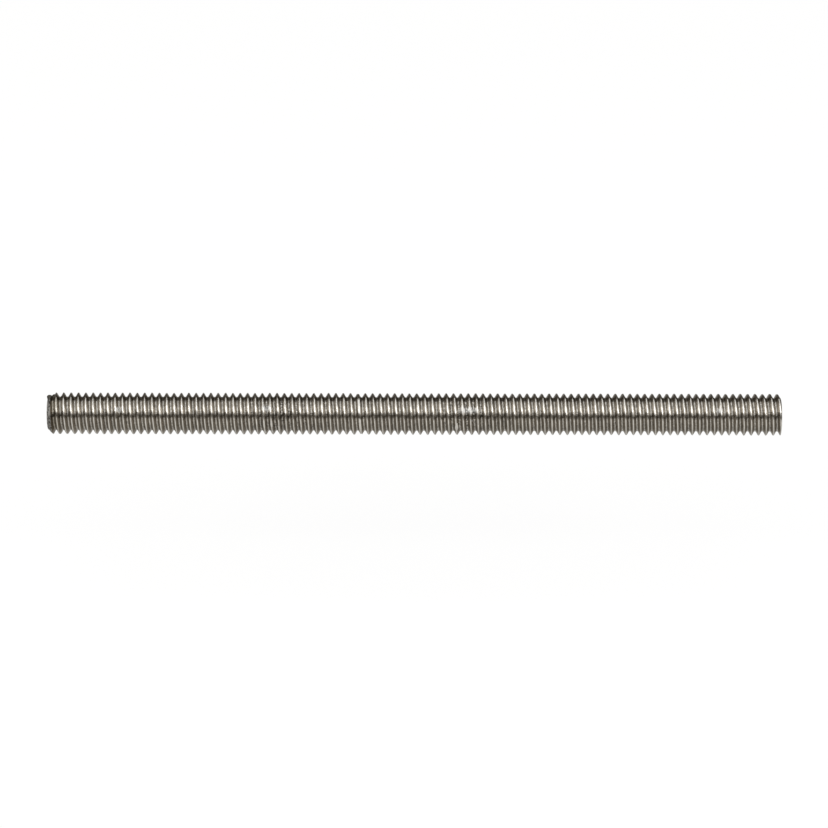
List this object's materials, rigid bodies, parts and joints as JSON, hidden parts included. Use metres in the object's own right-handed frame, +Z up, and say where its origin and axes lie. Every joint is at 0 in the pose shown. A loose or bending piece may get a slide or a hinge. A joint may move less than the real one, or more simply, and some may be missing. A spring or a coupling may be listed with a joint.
{
  "type": "threaded rod",
  "caption": "Slim fully threaded steel rod with a right-hand metric coarse thread, chamfered at one end and cut square at the other, for nuts and tapped holes.",
  "frame": {"origin": "middle of the rod's axis, at the centre of its box", "axes": "+X along the axis from the chamfered end to the square end, +Z up, +Y away from the picture's viewer"},
  "size_m": [0.0698, 0.004, 0.004],
  "materials": {
    "steel": "rolled stainless steel, burnished on the crests and dull grey in the roots"
  },
  "bodies": {
    "root": {"threaded_rod": "steel"}
  },
  "joints": []
}
